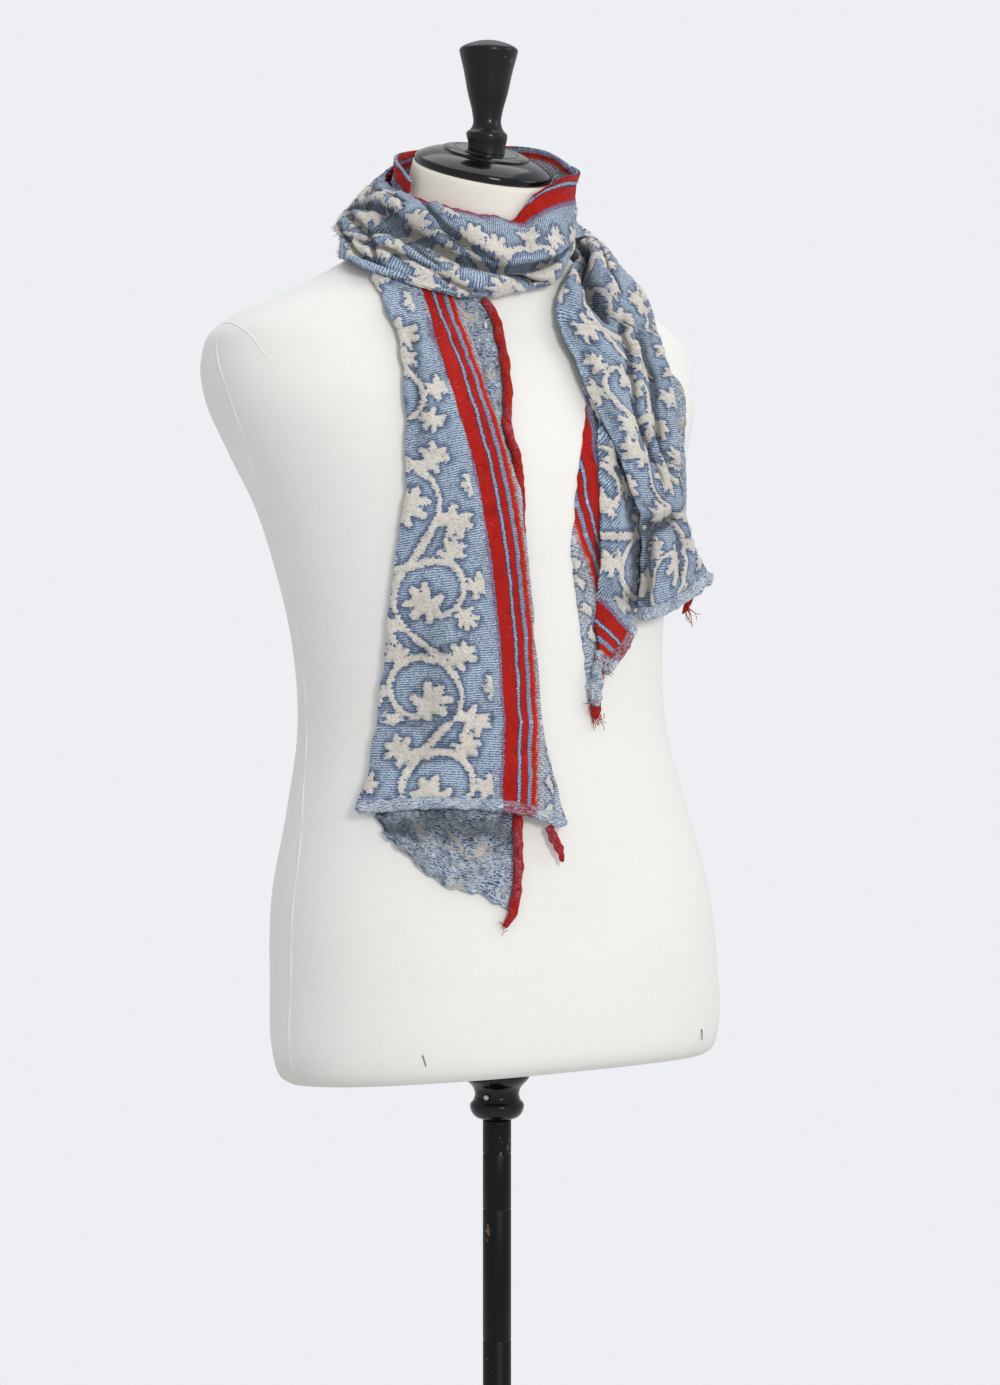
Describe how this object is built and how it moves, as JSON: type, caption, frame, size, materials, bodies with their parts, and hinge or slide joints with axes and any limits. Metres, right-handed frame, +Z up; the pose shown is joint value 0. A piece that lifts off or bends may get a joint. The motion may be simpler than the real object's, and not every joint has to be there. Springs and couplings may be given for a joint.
{
  "type": "wool scarf on a limbless dress form and stand",
  "caption": "Knitted wool scarf wound round the neck of a limbless canvas dress form, its ends hanging down the chest, on a turned black stand with a round base.",
  "frame": {"origin": "on the floor, under the axis of the pole, at the middle of the base's underside", "axes": "+Z up along the pole; the form faces -Y, so its own left side is +X"},
  "size_m": [0.44, 0.38, 1.5968],
  "materials": {
    "knitted_wool": "soft milled jacquard knit, blue ground with cream vine scrolls and red border stripes",
    "red_wool": "felted rolled selvedge and frayed ends",
    "canvas": "close plain-weave cotton canvas, stretched and sewn",
    "black_wood": "turned wood, gloss black lacquer, worn on the pole",
    "steel": "small worn screw head"
  },
  "bodies": {
    "root": {"neck_band": "knitted_wool", "front_loop": "knitted_wool", "back_loop": "knitted_wool", "long_end_front": "knitted_wool", "long_end_under": "knitted_wool", "short_end_front": "knitted_wool", "short_end_pleat": "knitted_wool", "short_end_under": "knitted_wool", "short_end_rear": "knitted_wool", "long_end_hem": "knitted_wool", "short_end_hem": "knitted_wool", "short_end_pleat_hem": "knitted_wool", "long_end_selvedge": "red_wool", "long_end_corner": "red_wool", "short_end_tassel": "red_wool", "short_end_tip": "red_wool", "canvas_form": "canvas", "neck_cap": "black_wood", "finial": "black_wood", "stand_collar": "black_wood", "stand_pole": "black_wood", "stand_base": "black_wood", "collar_screw": "steel"}
  },
  "joints": []
}
